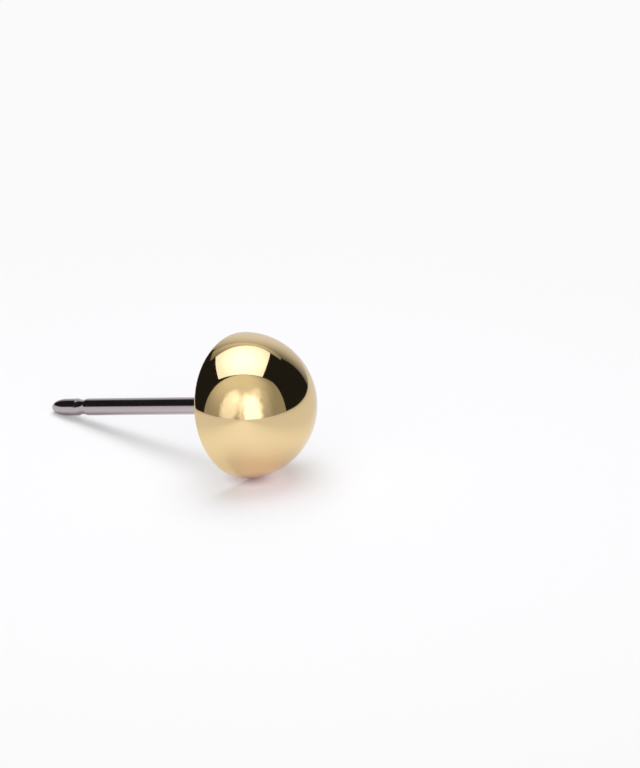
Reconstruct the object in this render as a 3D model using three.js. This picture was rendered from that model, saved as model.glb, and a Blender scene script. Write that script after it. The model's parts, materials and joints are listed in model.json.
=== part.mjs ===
// A half ball stud earring, unworn, lying on a level surface.
//
// Millimetres, +Z up. The origin lies on the surface, under the middle of the earring's box.
// Both pieces are turned about the earring's own axis, which is +Y before it is laid down: the
// dome's crown points to -Y, its flat back lies at y = 0 and the post runs out to +Y. Then the
// earring is tipped until the edge of the dome and the nose of the post both touch the surface.

import * as THREE from 'three';

// Dome: half of a hollow ball, closed by a flat back with a hole for the post.
// It has 16 sides, so that the flat it lies on is wide enough to stop it rolling.
const BALL_RADIUS = 3.35;
const WALL = 0.3;
const EDGE_ROUND = 0.16;
const HOLE_GAP = 0.05;
const BALL_STEPS = 12;
const EDGE_STEPS = 4;
const DOME_SIDES = 16;

// Post: a plain pin with a bullet nose and a groove that holds an ear nut
const POST_RADIUS = 0.4;
const POST_REACH = 12.46;
const POST_INSIDE = 0.8;
const NOSE_LENGTH = 1.0;
const HEAD_LENGTH = 1.72;
const GROOVE_WIDTH = 0.68;
const GROOVE_DEPTH = 0.06;
const NOSE_STEPS = 5;
const GROOVE_STEPS = 6;
const POST_SIDES = 16;

// Finishes
const GOLD = { color: 0xdcb368, roughness: 0.06, metalness: 1 };
const STEEL = { color: 0xb9b4b4, roughness: 0.2, metalness: 1 };

// The points of a profile: x is the distance from the axis and y runs along it.
// The arc's angles are in degrees, from the outward direction towards +Y.
function arc(centre, radii, fromAngle, toAngle, steps) {
  const points = [];
  for (let i = 0; i <= steps; i += 1) {
    const angle = THREE.MathUtils.degToRad(fromAngle + ((toAngle - fromAngle) * i) / steps);
    const across = centre.x + radii.x * Math.cos(angle);
    const along = centre.y + radii.y * Math.sin(angle);
    points.push(new THREE.Vector2(across, along));
  }
  return points;
}

// The circle that rounds the edge between the ball and the flat back, touching both
function edgeCentre() {
  const toBall = BALL_RADIUS - EDGE_ROUND;
  return new THREE.Vector2(Math.sqrt(toBall ** 2 - EDGE_ROUND ** 2), -EDGE_ROUND);
}

// Up the ball from its crown, round the edge, in along the back, through the hole and down
// the inner wall to the axis again
function domeProfile() {
  const centre = new THREE.Vector2(0, 0);
  const ball = new THREE.Vector2(BALL_RADIUS, BALL_RADIUS);
  const hollow = new THREE.Vector2(BALL_RADIUS - WALL, BALL_RADIUS - WALL);
  const edge = new THREE.Vector2(EDGE_ROUND, EDGE_ROUND);
  const edgeStart = THREE.MathUtils.radToDeg(Math.atan2(edgeCentre().y, edgeCentre().x));
  const hollowEnd = -THREE.MathUtils.radToDeg(Math.asin(WALL / hollow.x));
  const holeRadius = POST_RADIUS + HOLE_GAP;
  return [
    ...arc(centre, ball, -90, edgeStart, BALL_STEPS),
    ...arc(edgeCentre(), edge, edgeStart, 90, EDGE_STEPS).slice(1),
    new THREE.Vector2(holeRadius, 0),
    new THREE.Vector2(holeRadius, -WALL),
    ...arc(centre, hollow, hollowEnd, -90, BALL_STEPS),
  ];
}

// The groove is a shallow arc cut into the post behind the bullet-shaped head
function grooveProfile() {
  const middle = POST_REACH - HEAD_LENGTH - GROOVE_WIDTH / 2;
  const points = [];
  for (let i = 0; i <= GROOVE_STEPS; i += 1) {
    const across = (2 * i) / GROOVE_STEPS - 1;
    const depth = GROOVE_DEPTH * (1 - across ** 2);
    points.push(new THREE.Vector2(POST_RADIUS - depth, middle + (across * GROOVE_WIDTH) / 2));
  }
  return points;
}

function postProfile() {
  const noseCentre = new THREE.Vector2(0, POST_REACH - NOSE_LENGTH);
  const nose = new THREE.Vector2(POST_RADIUS, NOSE_LENGTH);
  return [
    new THREE.Vector2(0, -POST_INSIDE),
    new THREE.Vector2(POST_RADIUS, -POST_INSIDE),
    ...grooveProfile(),
    ...arc(noseCentre, nose, 0, 90, NOSE_STEPS),
  ];
}

// A turned solid. Its flats, not its corners, lie on the true radius, and one faces down.
function turned(profile, sides) {
  const halfSide = Math.PI / sides;
  const corners = profile.map((point) => new THREE.Vector2(point.x / Math.cos(halfSide), point.y));
  return new THREE.LatheGeometry(corners, sides, halfSide);
}

function makePiece(name, profile, sides, finish) {
  const mesh = new THREE.Mesh(turned(profile, sides), new THREE.MeshStandardMaterial(finish));
  mesh.name = name;
  return mesh;
}

// How far the rounded edge of the dome reaches below the axis's zero point at a tilt
function edgeDrop(tilt) {
  const centre = edgeCentre();
  return centre.x * Math.cos(tilt) + centre.y * Math.sin(tilt) + EDGE_ROUND;
}

// How far the nose of the post reaches below the same point at that tilt
function noseDrop(tilt) {
  const bulge = Math.hypot(POST_RADIUS * Math.cos(tilt), NOSE_LENGTH * Math.sin(tilt));
  return (POST_REACH - NOSE_LENGTH) * Math.sin(tilt) + bulge;
}

// The tilt at which both reach equally far down, found by halving the range that holds it
function restingTilt() {
  let level = 0;
  let steep = Math.PI / 4;
  for (let i = 0; i < 40; i += 1) {
    const middle = (level + steep) / 2;
    if (edgeDrop(middle) > noseDrop(middle)) {
      level = middle;
    } else {
      steep = middle;
    }
  }
  return level;
}

const earring = new THREE.Group();
earring.add(makePiece('half_ball', domeProfile(), DOME_SIDES, GOLD));
earring.add(makePiece('post', postProfile(), POST_SIDES, STEEL));

// Lay it down, and put the origin on the surface under the middle of its box
earring.rotation.x = -restingTilt();
const box = new THREE.Box3().setFromObject(earring, true);
const middle = box.getCenter(new THREE.Vector3());
earring.position.set(-middle.x, -middle.y, -box.min.z);

export default earring;
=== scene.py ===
# %% [markdown]
# # A half ball stud earring
#
# A half ball stud is two pieces of metal. The dome is half of a hollow ball with a closed flat
# back, polished and then plated with gold until it is a mirror. The post is a plain steel pin
# with a bullet nose and a shallow groove that holds an ear nut.
#
# Nearly everything that a picture of such an earring shows is a reflection, so this lesson has
# two halves: clean turned meshes whose surface bends light without a ripple, and a small photo
# studio of white cards round them for the metal to mirror.

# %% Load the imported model
import json
import math
from collections import namedtuple

import bpy
from mathutils import Matrix, Vector


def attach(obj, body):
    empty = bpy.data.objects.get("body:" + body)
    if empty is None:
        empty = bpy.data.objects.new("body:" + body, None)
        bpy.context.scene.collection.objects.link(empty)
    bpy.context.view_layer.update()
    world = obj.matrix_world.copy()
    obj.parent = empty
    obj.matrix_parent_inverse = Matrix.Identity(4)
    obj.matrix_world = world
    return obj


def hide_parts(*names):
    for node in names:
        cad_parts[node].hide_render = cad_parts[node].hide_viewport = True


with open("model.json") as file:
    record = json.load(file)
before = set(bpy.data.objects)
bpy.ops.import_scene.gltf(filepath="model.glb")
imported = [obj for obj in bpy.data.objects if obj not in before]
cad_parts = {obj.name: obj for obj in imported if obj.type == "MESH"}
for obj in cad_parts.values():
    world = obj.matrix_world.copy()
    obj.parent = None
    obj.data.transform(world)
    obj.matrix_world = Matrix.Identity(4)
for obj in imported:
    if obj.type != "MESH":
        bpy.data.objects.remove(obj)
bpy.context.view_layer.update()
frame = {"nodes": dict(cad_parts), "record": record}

MM = 0.001
print("nodes:", sorted(frame["nodes"]))

# %% [markdown]
# ## Sizes
#
# The lengths below are the earring's own, in millimetres as a jeweller would give them. Where
# it lies comes from the model: its record says where the flat back is and which way it faces,
# and that fixes the tilt of the whole stud. The point where the axis goes through the back is
# the zero of every length along the axis, with the post on the plus side.

# %% Driving dimensions and the earring's axis
BALL_RADIUS = 3.35
WALL = 0.3
EDGE_ROUND = 0.16
POST_RADIUS = 0.4
POST_REACH = 12.46
POST_INSIDE = 0.8
NOSE_LENGTH = 1.0
HEAD_LENGTH = 1.72
GROOVE_WIDTH = 0.68
GROOVE_DEPTH = 0.06

back_face = frame["record"]["mounts"][0]
back_point = Vector(back_face["pos_m"])
axis = Vector(back_face["axis"]).normalized()
tilt = math.asin(-axis.z)

edge_centre = Vector((math.sqrt((BALL_RADIUS - EDGE_ROUND) ** 2 - EDGE_ROUND ** 2), -EDGE_ROUND))
zero_height = edge_centre.x * math.cos(tilt) + edge_centre.y * math.sin(tilt) + EDGE_ROUND
zero_z = zero_height * MM
zero_y = back_point.y - (zero_z - back_point.z) * axis.z / axis.y
zero = Vector((0, zero_y, zero_z))
to_scene = Matrix.Translation(zero) @ Matrix.Rotation(-tilt, 4, "X") @ Matrix.Scale(MM, 4)
print("tilt in degrees:", round(math.degrees(tilt), 2), "zero in mm:", [round(v / MM, 3) for v in zero])

# %% [markdown]
# ## Turning a piece
#
# Both pieces are bodies of revolution, so they could be made with the Screw modifier or the
# Spin tool. A few lines of mesh code are better here, because a mirror shows every flaw of the
# mesh: each ring is placed exactly, each pole is one vertex, and there are no doubles.
#
# A profile is a list of points, each the distance from the axis and the place along it. Smooth
# shading blends the normals across a bend, so a flat or a straight wall gets an extra ring
# close to each of its ends, and the blend stays inside that narrow strip.

# %% Profile helpers and the lathe
SUPPORT = 0.012
ON_AXIS = 1e-6


def arc(centre, radii, start, end, steps):
    """Points on an elliptical arc. Angles are in degrees, from outwards towards the post."""
    points = []
    for i in range(steps + 1):
        angle = math.radians(start + (end - start) * i / steps)
        points.append((centre[0] + radii[0] * math.cos(angle), centre[1] + radii[1] * math.sin(angle)))
    return points


def straight(start, end):
    """The support rings of a straight stretch between two bends, without its end points."""
    start, end = Vector(start), Vector(end)
    step = (end - start).normalized() * SUPPORT
    return [tuple(start + step), tuple(end - step)]


def turn(name, profile, sides):
    """Turns a profile, in millimetres, into a smooth closed mesh that lies as the solid does."""
    verts, rings, faces = [], [], []
    for radius, along in profile:
        count = sides if radius > ON_AXIS else 1
        rings.append(range(len(verts), len(verts) + count))
        for i in range(count):
            angle = 2 * math.pi * i / sides
            point = Vector((radius * math.sin(angle), along, radius * math.cos(angle)))
            verts.append(to_scene @ point)
    for low, high in zip(rings, rings[1:]):
        for i in range(sides):
            j = (i + 1) % sides
            corners = [low[i % len(low)], low[j % len(low)], high[j % len(high)], high[i % len(high)]]
            faces.append(list(dict.fromkeys(corners)))
    mesh = bpy.data.meshes.new(name)
    mesh.from_pydata(verts, [], faces)
    mesh.shade_smooth()
    piece = bpy.data.objects.new(name, mesh)
    bpy.context.scene.collection.objects.link(piece)
    print(name, "has", len(verts), "vertices and", len(faces), "faces")
    return piece


# %% [markdown]
# ## The dome
#
# The ball's curve runs from the crown to a small rounded edge. Behind that edge the back is
# flat across to the post, where a thin fillet of solder closes the joint. The dome is a shell,
# so the profile then goes through the back and returns along the inner wall.

# %% Make the dome
DOME_SIDES = 160
CROWN_TO_EDGE_STEPS = 72
EDGE_STEPS = 10
INSIDE_STEPS = 24
SOLDER_FILLET = 0.13
FILLET_STEPS = 6
JOINT_GAP = 0.002


def dome_profile():
    ball = (BALL_RADIUS, BALL_RADIUS)
    inside_radius = BALL_RADIUS - WALL
    edge_start = math.degrees(math.atan2(edge_centre.y, edge_centre.x))
    inside_end = -math.degrees(math.asin(WALL / inside_radius))
    joint = POST_RADIUS + JOINT_GAP
    fillet_centre = (joint + SOLDER_FILLET, SOLDER_FILLET)
    outside = arc((0, 0), ball, -90, edge_start, CROWN_TO_EDGE_STEPS)
    edge = arc(edge_centre, (EDGE_ROUND, EDGE_ROUND), edge_start, 90, EDGE_STEPS)[1:]
    fillet = arc(fillet_centre, (SOLDER_FILLET, SOLDER_FILLET), 270, 180, FILLET_STEPS)
    inside = arc((0, 0), (inside_radius, inside_radius), inside_end, -90, INSIDE_STEPS)
    back = straight(edge[-1], fillet[0])
    hole_end = (joint, -WALL)
    return outside + edge + back + fillet + straight(fillet[-1], hole_end) + [hole_end] + inside


dome = turn("dome", dome_profile(), DOME_SIDES)
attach(dome, "root")
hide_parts("half_ball")

# %% [markdown]
# ## The post
#
# The post is drawn steel wire. Its end is spun to a bullet nose so that it passes the ear, and
# a groove is rolled in behind the head. The groove is a shallow arc between two crisp corners,
# and an extra ring on the straight side of each corner keeps it crisp.

# %% Make the post
POST_SIDES = 64
NOSE_STEPS = 24
GROOVE_STEPS = 14
END_CHAMFER = 0.05


def groove_profile():
    middle = POST_REACH - HEAD_LENGTH - GROOVE_WIDTH / 2
    points = []
    for i in range(GROOVE_STEPS + 1):
        across = 2 * i / GROOVE_STEPS - 1
        depth = GROOVE_DEPTH * (1 - across ** 2)
        points.append((POST_RADIUS - depth, middle + across * GROOVE_WIDTH / 2))
    return points


def post_profile():
    end_flat = (POST_RADIUS - END_CHAMFER, -POST_INSIDE)
    shaft_start = (POST_RADIUS, END_CHAMFER - POST_INSIDE)
    groove = groove_profile()
    nose = arc((0, POST_REACH - NOSE_LENGTH), (POST_RADIUS, NOSE_LENGTH), 0, 90, NOSE_STEPS)
    shaft = straight(shaft_start, groove[0])
    head = straight(groove[-1], nose[0])
    return [(0, -POST_INSIDE), end_flat, shaft_start] + shaft + groove + head + nose


post = turn("post_pin", post_profile(), POST_SIDES)
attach(post, "root")
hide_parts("post")

# %% [markdown]
# ## Shader maths as Python
#
# A finish is a sum of small patterns, and a node tree full of Math nodes is hard to read. The
# class below wraps a node's output, so that an expression such as `1 - 0.3 * scratches` adds
# its Math nodes by itself. Every other node comes from one method of the finish.

# %% A socket that takes part in expressions
class Wire:
    """The output of a node, in a finish that is being made."""

    def __init__(self, finish, socket):
        self.finish = finish
        self.socket = socket

    def maths(self, operation, *values):
        return self.finish.node("ShaderNodeMath", {"operation": operation}, dict(enumerate(values)))

    def __add__(self, other):
        return self.maths("ADD", self, other)

    def __radd__(self, other):
        return self.maths("ADD", other, self)

    def __sub__(self, other):
        return self.maths("SUBTRACT", self, other)

    def __rsub__(self, other):
        return self.maths("SUBTRACT", other, self)

    def __mul__(self, other):
        return self.maths("MULTIPLY", self, other)

    def __rmul__(self, other):
        return self.maths("MULTIPLY", other, self)


class Finish:
    """The nodes of a material or of the world, under construction."""

    def __init__(self, owner):
        self.owner = owner
        self.owner.use_nodes = True
        self.tree = self.owner.node_tree
        self.tree.nodes.clear()

    def node(self, kind, settings=None, inputs=None, output=0):
        """Adds a node: its settings first, then its sockets' values or links."""
        made = self.tree.nodes.new(kind)
        for key, value in (settings or {}).items():
            setattr(made, key, value)
        for key, value in (inputs or {}).items():
            if isinstance(value, Wire):
                self.tree.links.new(value.socket, made.inputs[key])
            else:
                made.inputs[key].default_value = value
        return Wire(self, made.outputs[output]) if made.outputs else None

    def surface(self, shader, output="ShaderNodeOutputMaterial"):
        self.node(output, {}, {"Surface": shader})
        return self.owner


# %% [markdown]
# ## Polished gold
#
# Gold plate over polished brass has no colour of its own under the reflection: the reflection
# itself is coloured. A metal's base colour is how much red, green and blue it sends back, and
# this is a light gold that keeps nine tenths of the red and four tenths of the blue.
#
# The polish is not perfect. A buffing wheel leaves hairlines too fine to see singly, which
# blur the reflection a little more in some places than in others, and it leaves the ball very
# slightly wavy, so that straight edges in the mirror image wander a little. The flat back is
# faced on a lathe and polished less, so faint rings are left round the post.

# %% The gold finish
GOLD_COLOUR = (0.90, 0.685, 0.375, 1)
GOLD_BLUR = 0.035
HAZE = 0.03
HAZE_SIZE = 0.9
WAVE_SIZE = 1.6
WAVE_HEIGHT = 0.0004
HAIRLINE_SIZE = 0.5
HAIRLINE_STRETCH = (1.0, 14.0, 3.0)
HAIRLINE_HEIGHT = 0.00003
RING_WIDTH = 0.03
RING_HEIGHT = 0.00006
RINGS_START = -0.08
RINGS_FULL = -0.01
WITHOUT_AXIS = (1, 0, 1)


def earring_place(finish):
    """The place on the earring in millimetres, with Y along its axis."""
    coordinates = finish.node("ShaderNodeTexCoord", {}, {}, "Object")
    return finish.node(
        "ShaderNodeMapping",
        {"vector_type": "TEXTURE"},
        {"Vector": coordinates, "Location": zero, "Rotation": (-tilt, 0, 0), "Scale": (MM, MM, MM)},
    )


def stretched(finish, place, scale):
    return finish.node("ShaderNodeMapping", {}, {"Vector": place, "Scale": scale})


def noise(finish, place, size, detail=2.0, rough=0.5):
    """Soft random values from 0 to 1, whose blotches are about that size in millimetres."""
    inputs = {"Vector": place, "Scale": 1 / size, "Detail": detail, "Roughness": rough}
    return finish.node("ShaderNodeTexNoise", {}, inputs, "Fac")


def turning_rings(finish, place):
    """Faint rings round the axis, on the flat back alone."""
    across = finish.node("ShaderNodeVectorMath", {"operation": "MULTIPLY"}, {0: place, 1: WITHOUT_AXIS})
    radius = finish.node("ShaderNodeVectorMath", {"operation": "LENGTH"}, {0: across}, "Value")
    inputs = {"W": radius * (1 / RING_WIDTH), "Scale": 1.0, "Detail": 2.0}
    rings = finish.node("ShaderNodeTexNoise", {"noise_dimensions": "1D"}, inputs, "Fac")
    along = finish.node("ShaderNodeSeparateXYZ", {}, {0: place}, "Y")
    fade_in = {"Value": along, "From Min": RINGS_START, "From Max": RINGS_FULL}
    return rings * finish.node("ShaderNodeMapRange", {}, fade_in)


def gold_finish():
    finish = Finish(bpy.data.materials.new("polished_gold"))
    place = earring_place(finish)
    waves = noise(finish, place, WAVE_SIZE, detail=1.0)
    hairlines = noise(finish, stretched(finish, place, HAIRLINE_STRETCH), HAIRLINE_SIZE, detail=3.0)
    haze = noise(finish, place, HAZE_SIZE, detail=3.0, rough=0.6)
    rings = turning_rings(finish, place)
    height = waves * (WAVE_HEIGHT * MM) + hairlines * (HAIRLINE_HEIGHT * MM) + rings * (RING_HEIGHT * MM)
    bump = finish.node("ShaderNodeBump", {}, {"Height": height, "Strength": 1.0, "Distance": 1.0})
    shader = finish.node("ShaderNodeBsdfPrincipled", {}, {
        "Base Color": GOLD_COLOUR,
        "Metallic": 1.0,
        "Roughness": GOLD_BLUR + haze * HAZE,
        "Normal": bump,
    })
    return finish.surface(shader)


dome.data.materials.append(gold_finish())
print("gold finish on", dome.name)

# %% [markdown]
# ## Drawn steel
#
# Wire is pulled through a die, which leaves fine lines along it. They spread a reflection
# round the post but not along it, so the noise that makes them is stretched along the axis.

# %% The steel finish
STEEL_COLOUR = (0.6, 0.53, 0.545, 1)
STEEL_BLUR = 0.12
STEEL_HAZE = 0.08
STEEL_HAZE_SIZE = 0.6
DRAW_LINE_WIDTH = 0.05
DRAW_LINE_STRETCH = (1.0, 0.03, 1.0)
DRAW_LINE_HEIGHT = 0.00025


def steel_finish():
    finish = Finish(bpy.data.materials.new("drawn_steel"))
    place = earring_place(finish)
    lines = noise(finish, stretched(finish, place, DRAW_LINE_STRETCH), DRAW_LINE_WIDTH, detail=3.0)
    haze = noise(finish, place, STEEL_HAZE_SIZE)
    bump = finish.node("ShaderNodeBump", {}, {
        "Height": lines * (DRAW_LINE_HEIGHT * MM),
        "Strength": 1.0,
        "Distance": 1.0,
    })
    shader = finish.node("ShaderNodeBsdfPrincipled", {}, {
        "Base Color": STEEL_COLOUR,
        "Metallic": 1.0,
        "Roughness": STEEL_BLUR + haze * STEEL_HAZE,
        "Normal": bump,
    })
    return finish.surface(shader)


post.data.materials.append(steel_finish())
print("steel finish on", post.name)

# %% [markdown]
# ## The camera
#
# A long lens some twenty centimetres away gives a picture with almost no perspective. The
# camera looks down a little at the side of the stud, with the post to the left. It isn't aimed
# at the stud but past it, so that the ball lands left of the middle of the frame, and nothing is
# shifted or cropped.

# %% Place the camera
FRAME_PIXELS = (640, 768)
BALL_PIXEL = (243.85, 405.3)
PIXELS_PER_MM = 21.95
CAMERA_AZIMUTH = math.radians(-49.3)
CAMERA_ELEVATION = math.radians(19.95)
CAMERA_DISTANCE = 210.0
SENSOR_LONG_SIDE = 36.0
NEAREST_SEEN = 1.0
FARTHEST_SEEN = 10000.0


def make_camera():
    flat = math.cos(CAMERA_ELEVATION)
    right = Vector((math.cos(CAMERA_AZIMUTH), math.sin(CAMERA_AZIMUTH), 0))
    back = Vector((flat * right.y, -flat * right.x, math.sin(CAMERA_ELEVATION)))
    up = back.cross(right)
    sideways = (FRAME_PIXELS[0] / 2 - BALL_PIXEL[0]) / PIXELS_PER_MM
    upwards = (BALL_PIXEL[1] - FRAME_PIXELS[1] / 2) / PIXELS_PER_MM
    data = bpy.data.cameras.new("camera")
    data.lens = SENSOR_LONG_SIDE * CAMERA_DISTANCE * PIXELS_PER_MM / max(FRAME_PIXELS)
    data.sensor_width = SENSOR_LONG_SIDE
    data.clip_start = NEAREST_SEEN * MM
    data.clip_end = FARTHEST_SEEN * MM
    camera = bpy.data.objects.new("camera", data)
    place = zero + (back * CAMERA_DISTANCE + right * sideways + up * upwards) * MM
    turned = Matrix((right, up, back)).transposed()
    camera.matrix_world = Matrix.Translation(place) @ turned.to_4x4()
    bpy.context.scene.collection.objects.link(camera)
    bpy.context.scene.camera = camera
    print("lens in mm:", round(data.lens, 1), "camera at", [round(v / MM, 1) for v in place])


make_camera()

# %% [markdown]
# ## The studio
#
# The mirror image on the dome tells how such a picture is lit: a soft light overhead, a pale
# ceiling and wall behind it, a big round screen in front, and nothing but darkness to the left
# and right, which gives the gold its deep bands.
#
# Each of these is a card that glows evenly or in soft patches. Real lamps would do as well, but
# a card may have any outline and pattern, and the metal shows both. Places are in millimetres
# from the spot below the ball: to the camera's right, away from the camera, and up.

# %% Cards that glow
studio_floor_zero = Vector((zero.x, zero.y, 0))
to_studio = Matrix.Translation(studio_floor_zero) @ Matrix.Rotation(CAMERA_AZIMUTH, 4, "Z")
CARD_CORNERS = ((-1, -1), (1, -1), (1, 1), (-1, 1))
BLACK = (0, 0, 0, 1)


def card(name, centre, size, facing, outline=CARD_CORNERS):
    """A flat card. Its own X and Y run from -1 to 1, and facing is its turn about studio X."""
    mesh = bpy.data.meshes.new(name)
    mesh.from_pydata([(x, y, 0) for x, y in outline], [], [range(len(outline))])
    made = bpy.data.objects.new(name, mesh)
    bpy.context.scene.collection.objects.link(made)
    turned = Matrix.Rotation(math.radians(facing), 4, "X")
    scale = Matrix.Diagonal((size[0] / 2 * MM, size[1] / 2 * MM, MM, 1))
    made.matrix_world = to_studio @ Matrix.Translation(Vector(centre) * MM) @ turned @ scale
    made.visible_camera = False
    made.visible_shadow = False
    print(name, "is a card of", [round(side) for side in size], "mm with", len(outline), "corners")
    return made


def tinted(finish, colour, strength):
    """A colour made as bright as the strength says."""
    return finish.node("ShaderNodeVectorMath", {"operation": "SCALE"}, {0: colour, "Scale": strength})


def together(finish, first, second):
    """The sum of two colours."""
    return finish.node("ShaderNodeVectorMath", {"operation": "ADD"}, {0: first, 1: second})


def glow(name, colour_of):
    """A material that only shines, in the colour that colour_of gives each place on a card."""
    finish = Finish(bpy.data.materials.new(name))
    place = finish.node("ShaderNodeTexCoord", {}, {}, "Object")
    shader = finish.node("ShaderNodeBsdfPrincipled", {}, {
        "Base Color": BLACK,
        "Roughness": 1.0,
        "Specular IOR Level": 0.0,
        "Emission Color": colour_of(finish, place),
        "Emission Strength": 1.0,
    })
    return finish.surface(shader)


# %% [markdown]
# ### Soft patches
#
# Light on cloth has no edges. A picture of the glow could be painted, but a few soft ovals say
# the same and can be moved one by one. A patch has a strength, a centre, half its width and
# height, a core that has the full strength, as a share of its size, and a lean in degrees.

# %% Patches of light
Patch = namedtuple("Patch", "strength centre size core lean", defaults=(0.0,))


def patch(finish, place, shape):
    """A soft oval: its full strength inside its core, falling to 0 at its edge."""
    moved = finish.node("ShaderNodeMapping", {"vector_type": "TEXTURE"}, {
        "Vector": place,
        "Location": (*shape.centre, 0),
        "Rotation": (0, 0, math.radians(shape.lean)),
        "Scale": (*shape.size, 1),
    })
    distance = finish.node("ShaderNodeVectorMath", {"operation": "LENGTH"}, {0: moved}, "Value")
    inputs = {"Value": distance, "From Min": 1.0, "From Max": shape.core}
    return shape.strength * finish.node("ShaderNodeMapRange", {"interpolation_type": "SMOOTHSTEP"}, inputs)


def on_card(shape, middle, half):
    """A patch in a card's own units, given the card's middle and half its size in the patch's."""
    centre = ((shape.centre[0] - middle[0]) / half[0], (shape.centre[1] - middle[1]) / half[1])
    size = (shape.size[0] / half[0], shape.size[1] / half[1])
    return shape._replace(centre=centre, size=size)


# %% [markdown]
# ### The overhead light
#
# A softbox is a lamp behind white cloth, brightest in the middle. An area light would look even
# and square in the gold. This card has the bent far edge of a cloth that sags, and a hot spot.

# %% The overhead light
SOFTBOX_HEIGHT = 150.0
SOFTBOX_FRONT = ((-0.75, -0.385), (0.53, -0.37))
SOFTBOX_BACK = ((0.58, 0.7), (0.4, 0.762), (0.2, 0.778), (-0.2, 0.685), (-0.45, 0.59), (-0.64, 0.525))
SOFTBOX_LEVEL = 1.25
HOT_SPOT = Patch(0.85, (0.0, 0.1), (0.7, 0.85), 0.1)
LAMP_COLOUR = (0.98, 0.97, 1.07)


def softbox_colour(finish, place):
    return tinted(finish, LAMP_COLOUR, SOFTBOX_LEVEL + patch(finish, place, HOT_SPOT))


softbox_size = (2 * SOFTBOX_HEIGHT, 2 * SOFTBOX_HEIGHT)
softbox = card("softbox", (0, 0, SOFTBOX_HEIGHT), softbox_size, 0, SOFTBOX_FRONT + SOFTBOX_BACK)
softbox.data.materials.append(glow("softbox_glow", softbox_colour))

# %% [markdown]
# ### The ceiling and the wall
#
# White cloth hangs behind the softbox and goes on down the wall. It is brightest where the
# light reaches it best and dim towards its ends, and the gold mirrors it as the pale band along
# its top and right. Two flat cards are enough, because the ball squeezes them to that band.

# %% The ceiling
CEILING_HEIGHT = 152.0
CEILING_OUTLINE = ((-0.84, 0.52), (0.95, 0.76), (1.0, 1.02), (-0.72, 1.02))
CEILING_LEVEL = 0.2
CEILING_SHEEN = Patch(0.48, (0.05, 1.05), (1.1, 0.75), 0.2)
CLOTH_COLOUR = (1.0, 0.97, 0.84)


def ceiling_colour(finish, place):
    return tinted(finish, CLOTH_COLOUR, CEILING_LEVEL + patch(finish, place, CEILING_SHEEN))


ceiling_size = (2 * CEILING_HEIGHT, 2 * CEILING_HEIGHT)
ceiling = card("ceiling", (0, 0, CEILING_HEIGHT), ceiling_size, 0, CEILING_OUTLINE)
ceiling.data.materials.append(glow("ceiling_glow", ceiling_colour))

# %% The wall
WALL_DISTANCE = 152.0
WALL_SIDES = (-0.62, 1.08)
WALL_LEVEL = 0.14
WALL_SHEEN = Patch(0.62, (-0.2, -0.4), (1.35, 2.9), 0.05)
WALL_COLOUR = (0.99, 0.99, 1.01)


def wall_colour(finish, place):
    return tinted(finish, WALL_COLOUR, WALL_LEVEL + patch(finish, place, WALL_SHEEN))


wall_middle = sum(WALL_SIDES) / 2 * WALL_DISTANCE
wall_width = (WALL_SIDES[1] - WALL_SIDES[0]) * WALL_DISTANCE
wall = card("wall", (wall_middle, WALL_DISTANCE, WALL_DISTANCE / 2), (wall_width, WALL_DISTANCE), 90)
wall.data.materials.append(glow("wall_glow", wall_colour))

# %% [markdown]
# ### The screen in front
#
# Between the camera and the stud stands a round white screen with lamps behind its cloth. It is
# the disc in the middle of the dome, with its bright spots. A real screen needs a hole for the
# lens, but a card that the camera can't see may stay whole. Its sizes are in screen distances,
# and its lower half lies below the floor, where nothing shows it.

# %% The outline of the screen
SCREEN_DISTANCE = 110.0
SCREEN_CENTRE = 0.35
SCREEN_HALF_WIDTH = 2.3
SCREEN_HEIGHT = 2.6
LEFT_SQUARENESS = 2.6
RIGHT_SQUARENESS = 6.5
SCREEN_SIDES = 96


def screen_outline():
    """A shape between an ellipse and a rectangle, rounder on its left side."""
    points = []
    for i in range(SCREEN_SIDES):
        angle = 2 * math.pi * i / SCREEN_SIDES
        across, up = math.cos(angle), math.sin(angle)
        power = RIGHT_SQUARENESS if across > 0 else LEFT_SQUARENESS
        size = (abs(across) ** power + abs(up) ** power) ** (-1 / power)
        points.append((across * size, up * size))
    return points


screen_middle = (SCREEN_CENTRE * SCREEN_DISTANCE, -SCREEN_DISTANCE, 0)
screen_size = (2 * SCREEN_HALF_WIDTH * SCREEN_DISTANCE, 2 * SCREEN_HEIGHT * SCREEN_DISTANCE)
screen = card("screen", screen_middle, screen_size, 90, screen_outline())

# %% The lamps behind the screen
SCREEN_LEVEL = 0.32
SCREEN_SHEEN = Patch(0.47, (-0.25, 1.9), (2.2, 2.3), 0.2)
LEFT_LAMP = Patch(0.64, (-0.41, 0.42), (0.4, 0.75), 0.45, -13.0)
RIGHT_LAMP = Patch(1.3, (0.24, 0.18), (0.43, 0.86), 0.35)
MIDDLE_LAMP = Patch(0.3, (-0.1, 0.6), (0.5, 0.5), 0.1)
FAN_OF_LIGHT = Patch(0.25, (0.5, 0.85), (0.25, 0.5), 0.3, -25.0)
LAMP_SPILL = Patch(0.18, (0.45, 0.4), (0.75, 1.2), 0.2)
SCREEN_LAMPS = (LEFT_LAMP, RIGHT_LAMP, MIDDLE_LAMP, FAN_OF_LIGHT, LAMP_SPILL)
DARK_STREAK = Patch(0.55, (0.0, 0.1), (0.07, 0.36), 0.2)
CREASE_SIZE = 0.1
CREASE_REACH = 0.1
MIDDLE_GREY = (0.5, 0.5, 0.5)


def creased(finish, place):
    """The place moved about by soft noise, so that patches get a cloth's uneven edges."""
    pushes = finish.node("ShaderNodeTexNoise", {}, {"Vector": place, "Scale": 1 / CREASE_SIZE}, "Color")
    inputs = {0: pushes, 1: MIDDLE_GREY}
    centred = finish.node("ShaderNodeVectorMath", {"operation": "SUBTRACT"}, inputs)
    return together(finish, place, tinted(finish, centred, CREASE_REACH))


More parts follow.
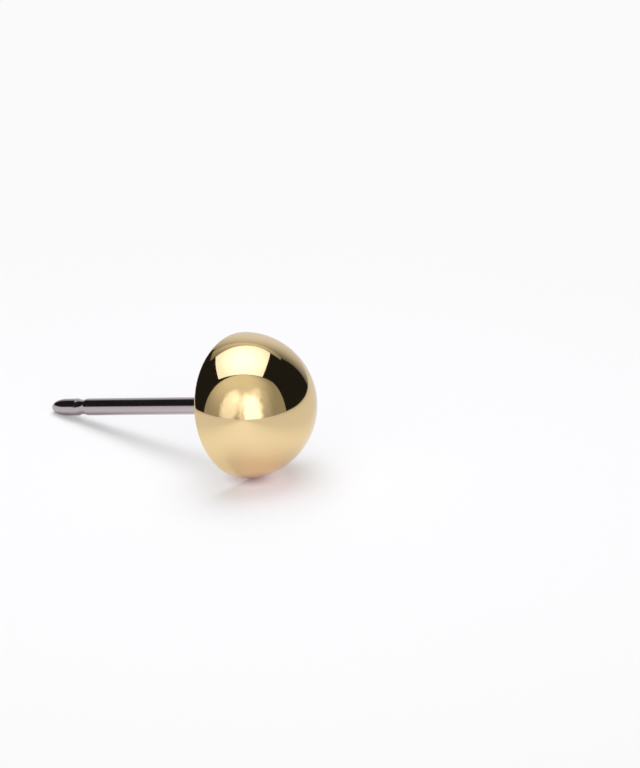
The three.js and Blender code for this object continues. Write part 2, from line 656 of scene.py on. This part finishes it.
def screen_patch(finish, place, shape):
    """A patch measured in screen distances, from the spot straight in front of the ball."""
    return patch(finish, place, on_card(shape, (SCREEN_CENTRE, 0), (SCREEN_HALF_WIDTH, SCREEN_HEIGHT)))


def screen_colour(finish, place):
    cloth_place = creased(finish, place)
    sheen = screen_patch(finish, cloth_place, SCREEN_SHEEN)
    lamps = sum(screen_patch(finish, cloth_place, lamp) for lamp in SCREEN_LAMPS)
    streak = screen_patch(finish, cloth_place, DARK_STREAK)
    cloth = tinted(finish, CLOTH_COLOUR, SCREEN_LEVEL + sheen)
    return together(finish, cloth, tinted(finish, LAMP_COLOUR, lamps * (1 - streak)))


screen.data.materials.append(glow("screen_glow", screen_colour))
print("lamps behind the screen:", len(SCREEN_LAMPS))

# %% [markdown]
# ## The floor and the light on it
#
# The stud lies on a matt white sheet that seems to have no end, so the sheet fades into the
# plain background some way off. It glows a little by itself, a painted light like that of a light
# table, which keeps the shadow pale and lights the gold from below.
#
# Soft patches steer that glow, and so paint light and shade on the sheet. A painted contact shadow
# makes it darker where the dome touches down, and painted warm light in front of the dome stands
# for the light that the gold throws there. For the metal alone the sheet has painted shade at the
# sides, outside the strip that runs towards the camera.

# %% The floor
FLOOR_SIZE = (500.0, 262.0)
FLOOR_FRONT_EDGE = 110.0
FLOOR_COLOUR = (0.6, 0.6, 0.595, 1)
# Painted light: the sheet glows by itself, which keeps its shadow pale.
FLOOR_GLOW = (0.3, 0.3, 0.3)
PAPER = (0.956, 0.956, 0.956, 1)
# Painted contact shadow: the glow is darker where the dome touches down.
CONTACT_SHADE = Patch(0.9, (0.25, -0.9), (1.4, 1.3), 0.1)
# Painted warm light in front of the dome, where the gold throws its own light.
WARM_LIGHT = Patch(1.0, (1.0, -1.9), (2.9, 4.4), 0.1)
WARM_COLOUR = (0.13, 0.065, 0.095)
# Painted shade for the metal alone: outside this strip towards the camera, the glow it mirrors is weaker.
FRONT_STRIP = Patch(1.0, (0.0, -20.0), (12.0, 60.0), 0.1)
MIRRORED_SIDE_SHADE = 0.8
FADE_START = 15.0
FADE_END = 40.0
floor_half = (FLOOR_SIZE[0] / 2, FLOOR_SIZE[1] / 2)
floor_middle = floor_half[1] - FLOOR_FRONT_EDGE


def floor_patch(finish, shape):
    """A patch on the floor, in millimetres from the spot below the ball."""
    place = finish.node("ShaderNodeTexCoord", {}, {}, "Object")
    return patch(finish, place, on_card(shape, (0, floor_middle), floor_half))


def floor_glow(finish, seen):
    """The colour in which each place of the sheet glows, by camera ray or by mirror ray."""
    contact = 1 - floor_patch(finish, CONTACT_SHADE)
    sides = 1 - floor_patch(finish, FRONT_STRIP)
    mirrored = 1 - MIRRORED_SIDE_SHADE * sides * (1 - seen)
    warm = tinted(finish, WARM_COLOUR, floor_patch(finish, WARM_LIGHT))
    return together(finish, tinted(finish, FLOOR_GLOW, contact * mirrored), warm)


def floor_fade(finish):
    """0 near the stud and 1 where only plain paper shows."""
    place = finish.node("ShaderNodeNewGeometry", {}, {}, "Position")
    places = {0: place, 1: studio_floor_zero}
    distance = finish.node("ShaderNodeVectorMath", {"operation": "DISTANCE"}, places, "Value")
    inputs = {"Value": distance, "From Min": FADE_START * MM, "From Max": FADE_END * MM}
    return finish.node("ShaderNodeMapRange", {"interpolation_type": "SMOOTHSTEP"}, inputs)


def floor_finish():
    finish = Finish(bpy.data.materials.new("floor"))
    seen = finish.node("ShaderNodeLightPath", {}, {}, "Is Camera Ray")
    matt = finish.node("ShaderNodeBsdfPrincipled", {}, {
        "Base Color": FLOOR_COLOUR,
        "Roughness": 1.0,
        "Specular IOR Level": 0.0,
        "Emission Color": floor_glow(finish, seen),
        "Emission Strength": 1.0,
    })
    paper = finish.node("ShaderNodeEmission", {}, {"Color": PAPER})
    fade = seen * floor_fade(finish)
    return finish.surface(finish.node("ShaderNodeMixShader", {}, {0: fade, 1: matt, 2: paper}))


floor = card("floor", (0, floor_middle, 0), FLOOR_SIZE, 0)
floor.visible_camera = True
floor.visible_shadow = True
floor.data.materials.append(floor_finish())

# %% [markdown]
# ### The fill light
#
# The cards alone would leave the sheet grey. A sun lamp with a wide angle lights all of it
# evenly, like a big cloth above and a little behind, and casts the soft shadow. The metal
# doesn't mirror this light, because the cards already are all that it should show.

# %% The fill light
FILL_STRENGTH = 1.36
FILL_SPREAD = math.radians(50)
FILL_LEAN = math.radians(-21)
FILL_COLOUR = (0.96, 0.98, 1.0)


def make_fill():
    data = bpy.data.lights.new("fill", "SUN")
    data.angle = FILL_SPREAD
    data.energy = FILL_STRENGTH
    data.color = FILL_COLOUR
    light = bpy.data.objects.new("fill", data)
    light.matrix_world = to_studio @ Matrix.Rotation(FILL_LEAN, 4, "X")
    light.visible_glossy = False
    light.visible_camera = False
    bpy.context.scene.collection.objects.link(light)
    print("fill light:", FILL_STRENGTH, "watts per square metre")


make_fill()

# %% [markdown]
# ### The background
#
# The camera sees plain white paper, and the metal sees a dark room. One world can be both: it
# mixes two backgrounds by the kind of ray that looks at it. The colours go out as they are, with
# no film look, so that the white stays white.

# %% The background
DARK_ROOM = (0.014, 0.014, 0.014, 1)


def make_world():
    finish = Finish(bpy.data.worlds.new("studio"))
    seen = finish.node("ShaderNodeLightPath", {}, {}, "Is Camera Ray")
    paper = finish.node("ShaderNodeBackground", {}, {"Color": PAPER})
    room = finish.node("ShaderNodeBackground", {}, {"Color": DARK_ROOM})
    mix = finish.node("ShaderNodeMixShader", {}, {0: seen, 1: room, 2: paper})
    bpy.context.scene.world = finish.surface(mix, "ShaderNodeOutputWorld")
    print("paper:", PAPER[0], "dark room:", DARK_ROOM[0])


make_world()
bpy.context.scene.view_settings.view_transform = "Standard"
